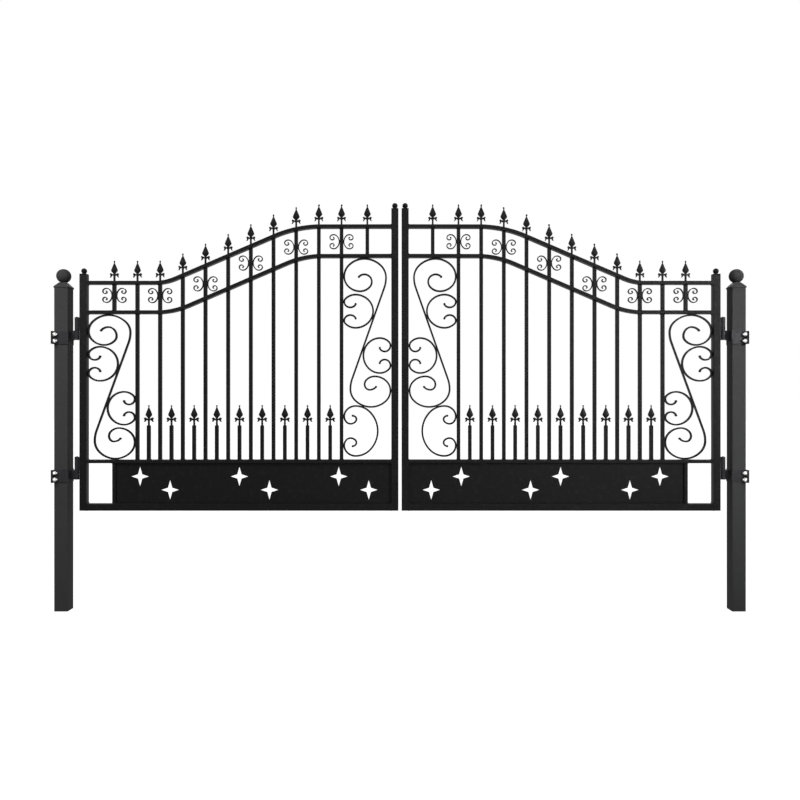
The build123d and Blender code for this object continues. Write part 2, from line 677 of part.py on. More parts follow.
LEAF_PIECES = {
    "hinge_stile": [hinge_stile()],
    "meeting_stile": [meeting_stile()],
    "bottom_rail": [bottom_rail()],
    "kick_rail": [kick_rail()],
    "second_rail": [top_rail(RAIL_SPACING)],
    "upper_rail": [top_rail(0)],
    "kick_bar": [kick_bar()],
    "kick_panel": [kick_panel()],
    "pickets": pickets(),
    "rail_uprights": rail_uprights(),
    "dog_bars": dog_bars(),
    "rail_spears": rail_spears(),
    "dog_bar_spears": dog_bar_spears(),
    "hinge_side_scrolls": hinge_side_scrolls(),
    "meeting_side_scrolls": meeting_side_scrolls(),
    "small_scrolls": small_scrolls(),
    "stile_caps": stile_caps(),
    "hinge_knuckles": hinge_knuckles(),
}
POST_PIECES = {
    "post": [post()],
    "post_cap": [post_cap()],
    "upper_clamp": hinge_clamp(LEAF_Z + UPPER_HINGE_Z, UPPER_BAND_TOP),
    "lower_clamp": hinge_clamp(LEAF_Z + LOWER_HINGE_Z, LOWER_BAND_TOP),
}


def write(name, pieces, place):
    """Writes a piece for the left side at its place, and its mirror for the right side."""
    left = Compound(children=[place * piece for piece in pieces])
    right = mirror(left, about=Plane.YZ.offset(GATE_MID))
    for side, shape in (("left", left), ("right", right)):
        solids = shape.solids()
        whole = solids[0] if len(solids) == 1 else Compound(solids)
        export_step(whole, f"parts/{side}_{name}.step")


for name, pieces in LEAF_PIECES.items():
    write(name, pieces, Pos(LEAF_X, 0, LEAF_Z))
for name, pieces in POST_PIECES.items():
    write(name, pieces, Pos(0, 0, 0))
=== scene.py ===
"""Looks for a double swing driveway gate and its two posts: coats, edges, welds and bolts."""
import math
import random

import bmesh
import bpy
from mathutils import Matrix, Vector
from mathutils.bvhtree import BVHTree


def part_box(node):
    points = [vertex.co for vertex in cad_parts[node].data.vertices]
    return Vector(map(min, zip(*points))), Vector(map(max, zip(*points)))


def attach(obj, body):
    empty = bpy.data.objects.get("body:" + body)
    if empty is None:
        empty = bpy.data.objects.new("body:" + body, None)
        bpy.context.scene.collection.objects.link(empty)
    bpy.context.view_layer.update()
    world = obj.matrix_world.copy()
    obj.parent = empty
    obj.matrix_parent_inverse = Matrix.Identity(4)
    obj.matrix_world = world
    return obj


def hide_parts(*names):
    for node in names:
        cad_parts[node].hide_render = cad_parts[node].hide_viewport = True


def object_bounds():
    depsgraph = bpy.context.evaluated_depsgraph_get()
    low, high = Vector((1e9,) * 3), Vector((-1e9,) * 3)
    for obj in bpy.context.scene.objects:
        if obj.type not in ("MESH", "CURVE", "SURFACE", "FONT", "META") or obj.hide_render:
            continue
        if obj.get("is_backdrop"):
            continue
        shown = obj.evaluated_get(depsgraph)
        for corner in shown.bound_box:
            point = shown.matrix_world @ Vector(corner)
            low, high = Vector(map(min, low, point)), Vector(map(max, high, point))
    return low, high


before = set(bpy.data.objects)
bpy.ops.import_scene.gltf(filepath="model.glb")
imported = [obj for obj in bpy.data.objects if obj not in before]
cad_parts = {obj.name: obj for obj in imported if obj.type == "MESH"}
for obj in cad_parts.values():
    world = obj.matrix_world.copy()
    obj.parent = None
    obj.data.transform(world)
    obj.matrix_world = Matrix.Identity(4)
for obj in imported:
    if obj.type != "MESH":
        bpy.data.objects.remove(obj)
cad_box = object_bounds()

# ---------------------------------------------------------------------------------------------
# The room: a plain pale floor, a white surround that only the camera and reflections see, and
# soft lamps.  The gate stands in an open gateway, so the camera is square on to its middle.
# ---------------------------------------------------------------------------------------------

LENS = 35.0                  # mm, for a sensor of the width below
SENSOR_WIDTH = 36.0
CAMERA_BACK = 4.406          # metres in front of the leaves' middle plane
CAMERA_UP = 1.188
WHITE = (1.0, 1.0, 1.0, 1.0)
ROOM_LIGHT = 0.12            # what the surround throws on the gate
FLOOR_REACH = 40.0           # from the floor's middle to each edge
FLOOR_GREY = (0.22, 0.22, 0.22, 1.0)
FLOOR_ROUGHNESS = 0.9
FLOOR_LIFT = 0.975           # added for the eye alone, so the floor shows white with its shadow

scene = bpy.context.scene
scene.view_settings.view_transform = "Standard"

left_post_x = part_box("left_post")[0].x
right_post_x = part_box("right_post")[1].x
gate_middle = (left_post_x + right_post_x) / 2

camera_data = bpy.data.cameras.new("camera")
camera_data.lens = LENS
camera_data.sensor_width = SENSOR_WIDTH
camera = bpy.data.objects.new("camera", camera_data)
camera.location = (gate_middle, -CAMERA_BACK, CAMERA_UP)
camera.rotation_euler = (math.radians(90), 0, 0)
scene.collection.objects.link(camera)
scene.camera = camera


def by_eye(tree, on_object, to_eye):
    """Mixes two shaders: one lights the object, and the other is what the eye sees.

    The eye's share is 1 for a ray straight from the camera, in a reflection or through a thing.
    """
    path = tree.nodes.new("ShaderNodeLightPath")
    share = path.outputs["Is Camera Ray"]
    for ray in ("Is Glossy Ray", "Is Transmission Ray"):
        either = tree.nodes.new("ShaderNodeMath")
        either.operation = "MAXIMUM"
        tree.links.new(share, either.inputs[0])
        tree.links.new(path.outputs[ray], either.inputs[1])
        share = either.outputs[0]
    mix = tree.nodes.new("ShaderNodeMixShader")
    tree.links.new(share, mix.inputs["Fac"])
    tree.links.new(on_object, mix.inputs[1])
    tree.links.new(to_eye, mix.inputs[2])
    return mix.outputs[0]


def glow(tree, kind, strength):
    """A plain white Background or Emission shader."""
    shader = tree.nodes.new(f"ShaderNode{kind}")
    shader.inputs["Color"].default_value = WHITE
    shader.inputs["Strength"].default_value = strength
    return shader.outputs[0]


world = bpy.data.worlds.new("surround")
scene.world = world
world.use_nodes = True
surround = world.node_tree
surround.nodes.clear()
surround_out = surround.nodes.new("ShaderNodeOutputWorld")
surround_shade = by_eye(
    surround, glow(surround, "Background", ROOM_LIGHT), glow(surround, "Background", 1.0)
)
surround.links.new(surround_shade, surround_out.inputs["Surface"])

floor_form = bmesh.new()
bmesh.ops.create_grid(floor_form, x_segments=1, y_segments=1, size=FLOOR_REACH)
bmesh.ops.translate(floor_form, verts=floor_form.verts, vec=(gate_middle, 0, 0))
floor_mesh = bpy.data.meshes.new("floor")
floor_form.to_mesh(floor_mesh)
floor_form.free()
floor = bpy.data.objects.new("floor", floor_mesh)
scene.collection.objects.link(floor)
floor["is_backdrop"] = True

floor_paint = bpy.data.materials.new("floor_paint")
floor_paint.use_nodes = True
paint = floor_paint.node_tree
paint_base = paint.nodes["Principled BSDF"]
paint_base.inputs["Base Color"].default_value = FLOOR_GREY
paint_base.inputs["Roughness"].default_value = FLOOR_ROUGHNESS
paint_lift = by_eye(paint, glow(paint, "Emission", 0.0), glow(paint, "Emission", FLOOR_LIFT))
paint_sum = paint.nodes.new("ShaderNodeAddShader")
paint.links.new(paint_base.outputs[0], paint_sum.inputs[0])
paint.links.new(paint_lift, paint_sum.inputs[1])
paint.links.new(paint_sum.outputs[0], paint.nodes["Material Output"].inputs["Surface"])
floor_mesh.materials.append(floor_paint)


def softbox(name, place, aim, size, power, spread):
    """A square lamp at `place` turned to `aim`, which the camera doesn't see."""
    data = bpy.data.lights.new(name, "AREA")
    data.size = size
    data.energy = power
    data.spread = math.radians(spread)
    lamp = bpy.data.objects.new(name, data)
    lamp.location = place
    lamp.rotation_euler = (Vector(aim) - Vector(place)).to_track_quat("-Z", "Y").to_euler()
    lamp.visible_camera = False
    scene.collection.objects.link(lamp)


# Each post has a lamp in front and one behind, both a little outside it.
LAMP_OUT = 0.9
LAMP_UP = 3.1

for name, post_x, outward, power in (
    ("left", left_post_x, -1, 12), ("right", right_post_x, 1, 3),
):
    lamp_x = post_x + outward * LAMP_OUT
    softbox(
        f"{name}_post_lamp", place=(lamp_x, -2.3, LAMP_UP), aim=(post_x + outward * 0.1, 0, 1.4),
        size=1.2, power=power, spread=75,
    )
    softbox(
        f"{name}_back_lamp", place=(lamp_x, 3.0, LAMP_UP), aim=(post_x - outward * 0.6, 0, 1.2),
        size=1.5, power=14, spread=64,
    )
softbox(
    "middle_lamp", place=(gate_middle, -3.4, 4.2), aim=(gate_middle, 0, 1.3),
    size=3.0, power=42, spread=120,
)
softbox(
    "right_lamp", place=(gate_middle + 5.0, -5.0, 2.8), aim=(gate_middle + 1.1, 0, 1.4),
    size=2.0, power=19, spread=30,
)


# ---------------------------------------------------------------------------------------------
# Powder coat: black polyester baked on blasted steel, satin, with a faint orange peel, a little
# cloudiness in its sheen and a thin veil of road dust.
# ---------------------------------------------------------------------------------------------

CLOUD = (2.2, 4.0)           # scale and detail of the cloudiness
SPECK = (38.0, 6.0)          # of the dust
PEEL = (420.0, 2.0)          # of the orange peel
PEEL_STRENGTH = 0.40
PEEL_HEIGHT = 0.0004
DUST = (0.115, 0.105, 0.092)
DUST_STARTS = 0.52           # where in its noise dust begins to lie, and where it lies thickest
DUST_THICKEST = 0.80
GLOSSIER = 0.06              # how far the roughness wanders either way
DULLER = 0.07


def object_noise(tree, scale, detail):
    """Noise that stays with the object."""
    place = tree.nodes.new("ShaderNodeTexCoord")
    noise = tree.nodes.new("ShaderNodeTexNoise")
    noise.inputs["Scale"].default_value = scale
    noise.inputs["Detail"].default_value = detail
    tree.links.new(place.outputs["Object"], noise.inputs["Vector"])
    return noise.outputs["Fac"]


def ranged(tree, value, to_low, to_high, from_low=0.0, from_high=1.0):
    """A value carried from one range to another."""
    remap = tree.nodes.new("ShaderNodeMapRange")
    remap.inputs["From Min"].default_value = from_low
    remap.inputs["From Max"].default_value = from_high
    remap.inputs["To Min"].default_value = to_low
    remap.inputs["To Max"].default_value = to_high
    tree.links.new(value, remap.inputs["Value"])
    return remap.outputs["Result"]


def tinted(tree, share, first, second):
    """A colour between two; the first may be another node's output."""
    mix = tree.nodes.new("ShaderNodeMix")
    mix.data_type = "RGBA"
    tree.links.new(share, mix.inputs["Factor"])
    if isinstance(first, tuple):
        mix.inputs["A"].default_value = (*first, 1.0)
    else:
        tree.links.new(first, mix.inputs["A"])
    mix.inputs["B"].default_value = (*second, 1.0)
    return mix.outputs["Result"]


def dimpled(tree, height, strength, distance):
    """A bump for the shader's normal."""
    bump = tree.nodes.new("ShaderNodeBump")
    bump.inputs["Strength"].default_value = strength
    bump.inputs["Distance"].default_value = distance
    tree.links.new(height, bump.inputs["Height"])
    return bump.outputs["Normal"]


def powder_coat(name, dark, light, roughness, specular, dust_share):
    """Satin paint whose tone drifts between dark and light, with some dust on it."""
    material = bpy.data.materials.new(name)
    material.use_nodes = True
    tree = material.node_tree
    shader = tree.nodes["Principled BSDF"]
    shader.inputs["Specular IOR Level"].default_value = specular
    cloud = object_noise(tree, *CLOUD)
    dusty = ranged(tree, object_noise(tree, *SPECK), 0.0, dust_share, DUST_STARTS, DUST_THICKEST)
    colour = tinted(tree, dusty, tinted(tree, cloud, dark, light), DUST)
    sheen = ranged(tree, cloud, roughness - GLOSSIER, roughness + DULLER)
    peel = dimpled(tree, object_noise(tree, *PEEL), PEEL_STRENGTH, PEEL_HEIGHT)
    tree.links.new(colour, shader.inputs["Base Color"])
    tree.links.new(sheen, shader.inputs["Roughness"])
    tree.links.new(peel, shader.inputs["Normal"])
    return material


leaf_coat = powder_coat(
    "leaf_coat", dark=(0.0050, 0.0050, 0.0055), light=(0.0080, 0.0080, 0.0085),
    roughness=0.44, specular=0.07, dust_share=0.07,
)


# ---------------------------------------------------------------------------------------------
# Frame tubes: 40 x 40 tube stiles and bottom rail, 40 x 20 tube kick rail and the two swept top
# rails.  Cold-formed tube, so every long edge is a small round corner.
# ---------------------------------------------------------------------------------------------

SIDES = ("left", "right")
TUBE_CORNER = 0.0025
SHARP = math.radians(38)     # edges that turn more than this are rounded and shaded sharp
DOUBLES = 0.00001            # vertices nearer than this are one
FLAT = math.radians(1.5)
MOSTLY = 0.8                 # the share of an edge that lies along an axis it runs along


def merged_copy(node_name):
    """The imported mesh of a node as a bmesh, with its doubles merged and its flat faces joined."""
    form = bmesh.new()
    form.from_mesh(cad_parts[node_name].data)
    bmesh.ops.remove_doubles(form, verts=form.verts, dist=DOUBLES)
    bmesh.ops.dissolve_limit(
        form, angle_limit=FLAT, use_dissolve_boundaries=False,
        verts=form.verts, edges=form.edges, delimit=set(),
    )
    return form


def runs_along(edge, axis):
    """Whether an edge runs mostly along an axis: 0 is across the gateway and 2 is up."""
    ends = edge.verts[1].co - edge.verts[0].co
    return abs(ends[axis]) > MOSTLY * ends.length


def soften(form, width, segments, chosen=lambda edge: True):
    """Rounds the sharp edges that `chosen` takes."""
    sharp = []
    for edge in form.edges:
        if len(edge.link_faces) == 2 and edge.calc_face_angle() > SHARP and chosen(edge):
            sharp.append(edge)
    bmesh.ops.bevel(
        form, geom=sharp, offset=width, affect="EDGES", segments=segments, profile=0.5,
        material=-1, clamp_overlap=True,
    )


def make_piece(name, form, material, body, replaced=()):
    """Turns a bmesh into a piece that rides on a body and stands for the replaced nodes."""
    mesh = bpy.data.meshes.new(name)
    form.to_mesh(mesh)
    form.free()
    mesh.polygons.foreach_set("use_smooth", [True] * len(mesh.polygons))
    mesh.set_sharp_from_angle(angle=SHARP)
    mesh.materials.append(material)
    piece = bpy.data.objects.new(name, mesh)
    scene.collection.objects.link(piece)
    shading = piece.modifiers.new("even_shading", "WEIGHTED_NORMAL")
    shading.keep_sharp = True
    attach(piece, body)
    if replaced:
        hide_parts(*replaced)


def leaf_piece(side, part, ending, form):
    """A piece in the leaves' coat that stands for one node of a leaf."""
    node = f"{side}_{part}"
    make_piece(f"{node}_{ending}", form, leaf_coat, f"{side}_leaf", [node])


for side in SIDES:
    for part in ("hinge_stile", "meeting_stile"):
        tube = merged_copy(f"{side}_{part}")
        soften(tube, TUBE_CORNER, 3)
        leaf_piece(side, part, "tube", tube)
    for part in ("bottom_rail", "kick_rail", "second_rail", "upper_rail"):
        tube = merged_copy(f"{side}_{part}")
        soften(tube, TUBE_CORNER, 3, lambda edge: runs_along(edge, 0))
        leaf_piece(side, part, "tube", tube)


# ---------------------------------------------------------------------------------------------
# Infill bars: 20 x 20 tube pickets, rail uprights and kick bar, saw-cut to the rails; the dog
# bars are the same tube with a closed top that carries a spear head.
# ---------------------------------------------------------------------------------------------

BAR_CORNER = 0.0016

for side in SIDES:
    for part in ("pickets", "rail_uprights", "kick_bar"):
        bars = merged_copy(f"{side}_{part}")
        soften(bars, BAR_CORNER, 2, lambda edge: runs_along(edge, 2))
        leaf_piece(side, part, "tube", bars)
    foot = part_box(f"{side}_dog_bars")[0].z + BAR_CORNER
    bars = merged_copy(f"{side}_dog_bars")
    soften(bars, BAR_CORNER, 2, lambda edge: max(v.co.z for v in edge.verts) > foot)
    leaf_piece(side, "dog_bars", "tube", bars)


# ---------------------------------------------------------------------------------------------
# Kick panel: 2 mm sheet with plasma-cut four-pointed stars, welded in between the bottom rail
# and the kick rail, its cut edges just broken.
# ---------------------------------------------------------------------------------------------

BROKEN_EDGE = 0.0003

for side in SIDES:
    sheet = merged_copy(f"{side}_kick_panel")
    soften(sheet, BROKEN_EDGE, 1)
    leaf_piece(side, "kick_panel", "sheet", sheet)


# ---------------------------------------------------------------------------------------------
# Forged scrolls: 12 x 10 bar rolled into S and C scrolls for the end bays, and 12 x 5.5 bar for
# the small back-to-back pairs, with the bar's corners rounded by the rolls.
# ---------------------------------------------------------------------------------------------

LARGE_CORNER = 0.002
SMALL_CORNER = 0.0012
SNUB = 0.0063                # radius of the large scrolls' rounded ends
SNUB_DEPTH = 0.0128          # a little more than the bar, so the end stands proud of both faces
SNUB_BACK = 0.4              # the rounded end's middle lies this share of its radius in the bar
SQUARE_ON = math.radians(75)
LEVEL = 0.1                  # a bar's end faces neither front nor back by more than this

LARGE_SCROLLS = ("hinge_side_scrolls", "meeting_side_scrolls")
SCROLLS = LARGE_SCROLLS + ("small_scrolls",)

for side in SIDES:
    for part in SCROLLS:
        scrolls = merged_copy(f"{side}_{part}")
        ends = []
        for face in scrolls.faces:
            square = all(edge.calc_face_angle() > SQUARE_ON for edge in face.edges)
            if abs(face.normal.y) < LEVEL and square:
                ends.append(face.calc_center_median() - face.normal * SNUB * SNUB_BACK)
        if part in LARGE_SCROLLS:
            for end in ends:
                lying = Matrix.Translation(end) @ Matrix.Rotation(math.pi / 2, 4, "X")
                bmesh.ops.create_cone(
                    scrolls, cap_ends=True, segments=14, radius1=SNUB, radius2=SNUB,
                    depth=SNUB_DEPTH, matrix=lying,
                )
        soften(scrolls, LARGE_CORNER if part in LARGE_SCROLLS else SMALL_CORNER, 2)
        leaf_piece(side, part, "forged", scrolls)


# ---------------------------------------------------------------------------------------------
# Spear heads: cast steel, a ridged leaf blade over two drooping petals, welded on by the stem.
# Those on the upper rail end in a small ball; those on the dog bars have a bead on the stem.
# ---------------------------------------------------------------------------------------------

CAST_EDGE = 0.0006
TIP_BALL = 0.0045            # radius of the ball on a rail spear's point


def parts_of(form):
    """The separate parts of a bmesh, each as a list of its vertices."""
    parts, seen = [], set()
    for start in form.verts:
        if start in seen:
            continue
        part, waiting = [], [start]
        seen.add(start)
        while waiting:
            vert = waiting.pop()
            part.append(vert)
            for edge in vert.link_edges:
                other = edge.other_vert(vert)
                if other not in seen:
                    seen.add(other)
                    waiting.append(other)
        parts.append(part)
    return parts


for side in SIDES:
    for part in ("rail_spears", "dog_bar_spears"):
        spears = merged_copy(f"{side}_{part}")
        tips = []
        for spear in parts_of(spears):
            tips.append(max((vert.co.copy() for vert in spear), key=lambda spot: spot.z))
        soften(spears, CAST_EDGE, 2)
        if part == "rail_spears":
            for tip in tips:
                at_tip = Matrix.Translation((tip.x, 0, tip.z - TIP_BALL))
                bmesh.ops.create_icosphere(spears, subdivisions=2, radius=TIP_BALL, matrix=at_tip)
        leaf_piece(side, part, "cast", spears)


# ---------------------------------------------------------------------------------------------
# Stile caps: a flat square plate that closes the top of each stile, with a small cast ball on a
# short neck.
# ---------------------------------------------------------------------------------------------

CAP_EDGE = 0.0012

for side in SIDES:
    caps = merged_copy(f"{side}_stile_caps")
    soften(caps, CAP_EDGE, 2)
    leaf_piece(side, "stile_caps", "cast", caps)


# ---------------------------------------------------------------------------------------------
# Bar welds: a hand-laid fillet runs round every picket, upright, dog bar and kick bar where it
# meets a rail, and round every rail end at the stiles, under the same powder coat.
# ---------------------------------------------------------------------------------------------

BAR_FILLET = 0.0030          # leg of the fillet
RAIL_FILLET = 0.0035
UNEVEN = (0.82, 1.15)        # a hand-laid leg wanders between these shares
FLUSH_HEIGHT = 0.0005        # how far a weld stands proud where the two tubes are level
BURIED = 0.0002              # how far a weld's back sinks into the tubes
MIDDLE_RISE = 0.45           # the hollow of the fillet, as shares of its leg
MIDDLE_SPREAD = 0.62
FRONT, FAR, BACK, NEAR = range(4)     # the sides of a bar's end; near is low for a rail
RIM = 0.99                   # a fillet's vertices beyond this, of a block from -1 to 1, are outside
END_DEPTH = 0.0001           # vertices this near a rail's end belong to it
CORNER_REACH = 0.0002        # and those this near a corner are that corner


def edges_of(verts):
    """The edges at the given vertices, each once and in an order that never changes."""
    return list(dict.fromkeys(edge for vert in verts for edge in vert.link_edges))


def weld_round(form, corners, inward, reach, rng, flush=()):
    """A fillet round a bar's square end; `inward` points up the bar, away from the joint."""
    count = len(form.verts)
    block = bmesh.ops.create_cube(form, size=2)["verts"]
    level = [e for e in edges_of(block) if e.verts[0].co.z == e.verts[1].co.z]
    bmesh.ops.subdivide_edges(form, edges=level, cuts=3)
    block = list(form.verts)[count:]
    rising = [e for e in edges_of(block) if abs(e.verts[0].co.z - e.verts[1].co.z) > 1]
    bmesh.ops.subdivide_edges(form, edges=rising, cuts=1)
    across = (corners[1] - corners[0]).normalized()
    deep = (corners[3] - corners[0]).normalized()
    for vert in list(form.verts)[count:]:
        x, y, z = vert.co
        front = corners[0].lerp(corners[1], (x + 1) / 2)
        back = corners[3].lerp(corners[2], (x + 1) / 2)
        size = reach * rng.uniform(*UNEVEN)
        sink = size if flush else BURIED
        rings = {
            1: (size, BURIED),
            0: (MIDDLE_RISE * size, MIDDLE_SPREAD * size),
            -1: (-sink, size),
        }
        rise, spread = rings[round(z)]
        grow_x = grow_y = 0.0
        if abs(x) > RIM:
            side_x = FAR if x > 0 else NEAR
            grow_x = math.copysign(FLUSH_HEIGHT if side_x in flush else spread, x)
        if abs(y) > RIM:
            side_y = BACK if y > 0 else FRONT
            grow_y = math.copysign(FLUSH_HEIGHT if side_y in flush else spread, y)
        vert.co = front.lerp(back, (y + 1) / 2) + across * grow_x + deep * grow_y + inward * rise


def end_corners(part, across, end):
    """The corners of a bar's high (end = 1) or low (end = -1) end; across is 0 for an upright."""
    along = 2 - across
    spots = [vert.co for vert in part]
    if along == 0:
        limit = max(end * s.x for s in spots)
        spots = [s for s in spots if end * s.x > limit - END_DEPTH]
    near, far = min(s[across] for s in spots), max(s[across] for s in spots)
    front, back = min(s.y for s in spots), max(s.y for s in spots)
    corners = []
    for value, depth in ((near, front), (far, front), (far, back), (near, back)):
        close = [s for s in spots if abs(s[across] - value) < CORNER_REACH]
        close = [s for s in close if abs(s.y - depth) < CORNER_REACH]
        corners.append(max(close, key=lambda s: end * s[along]).copy())
    return corners


BAR_ENDS = (
    ("pickets", (1, -1)), ("rail_uprights", (1, -1)), ("kick_bar", (1, -1)), ("dog_bars", (-1,)),
)
RAIL_FLUSH = (                        # a rail's sides that are level with the stiles'
    ("bottom_rail", (FRONT, BACK, NEAR)), ("kick_rail", (FRONT, BACK)),
    ("second_rail", (FRONT, BACK)), ("upper_rail", (FRONT, BACK)),
)

rng = random.Random(7)
for side in SIDES:
    welds = bmesh.new()
    for part, ends in BAR_ENDS:
        bars = merged_copy(f"{side}_{part}")
        for bar in parts_of(bars):
            for end in ends:
                up_the_bar = Vector((0, 0, -end))
                weld_round(welds, end_corners(bar, 0, end), up_the_bar, BAR_FILLET, rng)
        bars.free()
    for part, flush in RAIL_FLUSH:
        rails = merged_copy(f"{side}_{part}")
        for rail in parts_of(rails):
            for end in (1, -1):
                up_the_rail = Vector((-end, 0, 0))
                weld_round(welds, end_corners(rail, 2, end), up_the_rail, RAIL_FILLET, rng, flush)
        rails.free()
    bmesh.ops.recalc_face_normals(welds, faces=welds.faces)
    make_piece(f"{side}_bar_welds", welds, leaf_coat, f"{side}_leaf")


# ---------------------------------------------------------------------------------------------
# Scroll tacks: each scroll is tacked front and back wherever it touches a tube or another
# scroll.  The beads are short and rippled.
# ---------------------------------------------------------------------------------------------

TOUCHING = 0.0009            # a gap smaller than this is a welded contact
TACKS_APART = 0.025
SCROLL_FACE = 0.0056         # just under the scrolls' front face
TACK_HEIGHT = 0.0018
LARGE_TACK = (0.0070, 0.0026)         # half its length and half its width
SMALL_TACK = (0.0045, 0.0017)
RIPPLE = 0.10
RIPPLES = 9.0
UNEVEN_BEAD = 0.05
SIDEWAYS = 0.5               # a contact whose face looks to front or back more than this is none


def bead(form, middle, along, across, half_length, half_width, half_height, rng):
    """A short rippled weld bead, longest along `along`."""
    along, across = along.normalized(), across.normalized()
    up = along.cross(across)
    shape = Matrix((across * half_width, up * half_height, along * half_length))
    shape = shape.transposed().to_4x4()
    ball = bmesh.ops.create_uvsphere(form, u_segments=8, v_segments=8, radius=1)["verts"]
    for vert in ball:
        ripple = 1.0 + RIPPLE * math.cos(vert.co.z * RIPPLES)
        ripple += rng.uniform(-UNEVEN_BEAD, UNEVEN_BEAD)
        vert.co = middle + shape @ Vector((vert.co.x * ripple, vert.co.y * ripple, vert.co.z))


def tree_of(part):
    """A nearest-point tree of one part of a bmesh."""
    order = {vert: index for index, vert in enumerate(part)}
    faces = dict.fromkeys(face for vert in part for face in vert.link_faces)
    corners = [[order[vert] for vert in face.verts] for face in faces]
    return BVHTree.FromPolygons([vert.co for vert in part], corners)


def touches(part, tree):
    """Where a part nearly touches a tree: each gap's middle, and the direction across it."""
    places = []
    for vert in part:
        spot, normal, _, _ = tree.find_nearest(vert.co, TOUCHING)
        if spot is None or abs(normal.y) > SIDEWAYS:
            continue
        middle = (vert.co + spot) / 2
        middle.y = 0
        for place in places:
            if (place[0] / place[2] - middle).length < TACKS_APART:
                place[0] += middle
                place[1] += normal
                place[2] += 1
                break
        else:
            places.append([middle, normal.copy(), 1])
    return [(total / count, normals.normalized()) for total, normals, count in places]


for side in SIDES:
    frame_form = bmesh.new()
    for part in (
        "hinge_stile", "meeting_stile", "kick_rail", "second_rail", "upper_rail", "pickets",
        "rail_uprights",
    ):
        frame_form.from_mesh(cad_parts[f"{side}_{part}"].data)
    frame_tree = BVHTree.FromBMesh(frame_form)
    forms, scrolls, trees, tacks = [frame_form], [], [], bmesh.new()
    for part in SCROLLS:
        forms.append(merged_copy(f"{side}_{part}"))
        size = LARGE_TACK if part in LARGE_SCROLLS else SMALL_TACK
        for scroll in parts_of(forms[-1]):
            scrolls.append((scroll, size))
            trees.append(tree_of(scroll))
    for index, (scroll, (half_length, half_width)) in enumerate(scrolls):
        places = touches(scroll, frame_tree)
        for tree in trees[index + 1:]:
            places += touches(scroll, tree)
        for middle, normal in places:
            along = normal.cross(Vector((0, 1, 0)))
            for face_y in (-SCROLL_FACE, SCROLL_FACE):
                bead(
                    tacks, middle + Vector((0, face_y, 0)), along, normal,
                    half_length, half_width, TACK_HEIGHT, rng,
                )
    for form in forms:
        form.free()
    bmesh.ops.recalc_face_normals(tacks, faces=tacks.faces)
    make_piece(f"{side}_scroll_tacks", tacks, leaf_coat, f"{side}_leaf")


# ---------------------------------------------------------------------------------------------
# Spear welds: a small fillet round each stem, on the upper rail and on the dog bars' tops, under
# the same powder coat.
# ---------------------------------------------------------------------------------------------

STEM_FILLET = 0.0022
STEM_FOOT = 0.006            # a stem's corners are looked for this far up from its lowest point
STEM_SIDE = 0.001            # and this near its left or right side

for side in SIDES:
    welds = bmesh.new()
    for part in ("rail_spears", "dog_bar_spears"):
        spears = merged_copy(f"{side}_{part}")
        for spear in parts_of(spears):
            foot = min(vert.co.z for vert in spear)
            stem = [vert.co for vert in spear if vert.co.z < foot + STEM_FOOT]
            near, far = min(s.x for s in stem), max(s.x for s in stem)
            front, back = min(s.y for s in stem), max(s.y for s in stem)
            corners = []
            for x, y in ((near, front), (far, front), (far, back), (near, back)):
                low_point = min(s.z for s in stem if abs(s.x - x) < STEM_SIDE)
                corners.append(Vector((x, y, low_point)))
            weld_round(welds, corners, Vector((0, 0, 1)), STEM_FILLET, rng)
        spears.free()
    bmesh.ops.recalc_face_normals(welds, faces=welds.faces)
    make_piece(f"{side}_spear_welds", welds, leaf_coat, f"{side}_leaf")


# ---------------------------------------------------------------------------------------------
# Panel welds: the kick panel is stitched to the rails, the kick bar and the meeting stile with
# 25 mm beads about 150 mm apart, on both of its faces.
# ---------------------------------------------------------------------------------------------

STITCH_LENGTH = 0.025
STITCH_PITCH = 0.150
STITCH_SIZE = 0.0022
STITCH_STRAY = 0.008         # how far a stitch may stray along the seam
STITCH_OUT = 0.3             # shares of its size that a stitch stands off the sheet and the seam
STITCH_IN = 0.4

for side in SIDES:
    stitches = bmesh.new()
    low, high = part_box(f"{side}_kick_panel")
    right, up = Vector((1, 0, 0)), Vector((0, 0, 1))
    faces_y = (low.y - STITCH_SIZE * STITCH_OUT, high.y + STITCH_SIZE * STITCH_OUT)
    for along, across, start, length, rims in (
        (right, up, low.x, high.x - low.x, ((low.z, 1), (high.z, -1))),
        (up, right, low.z, high.z - low.z, ((low.x, 1), (high.x, -1))),
    ):
        number = round(length / STITCH_PITCH)
        for step in range(number):
            offset = start + (step + 0.5) * length / number
            offset += rng.uniform(-STITCH_STRAY, STITCH_STRAY)
            for rim, inside in rims:
                seam = along * offset + across * (rim + inside * STITCH_SIZE * STITCH_IN)
                for y in faces_y:
                    bead(
                        stitches, seam + Vector((0, y, 0)), along, across,
                        STITCH_LENGTH / 2, STITCH_SIZE, STITCH_SIZE, rng,
                    )
    bmesh.ops.recalc_face_normals(stitches, faces=stitches.faces)
    make_piece(f"{side}_panel_welds", stitches, leaf_coat, f"{side}_leaf")


# ---------------------------------------------------------------------------------------------
# Posts and their caps: 77 mm square tube with rounded corners under a cast cap with a ball,
# in a duller and slightly greyer coat than the leaves.
# ---------------------------------------------------------------------------------------------

POST_WALL = 0.003
POST_CORNER = 0.003
POST_CAP_EDGE = 0.0015
OPEN_END = 0.080             # how far up the open foot of the tube can be seen
DOWNWARDS = -0.9             # a face that points down more than this is the foot

post_coat = powder_coat(
    "post_coat", dark=(0.046, 0.046, 0.047), light=(0.056, 0.056, 0.057),
    roughness=0.62, specular=0.03, dust_share=0.10,
)

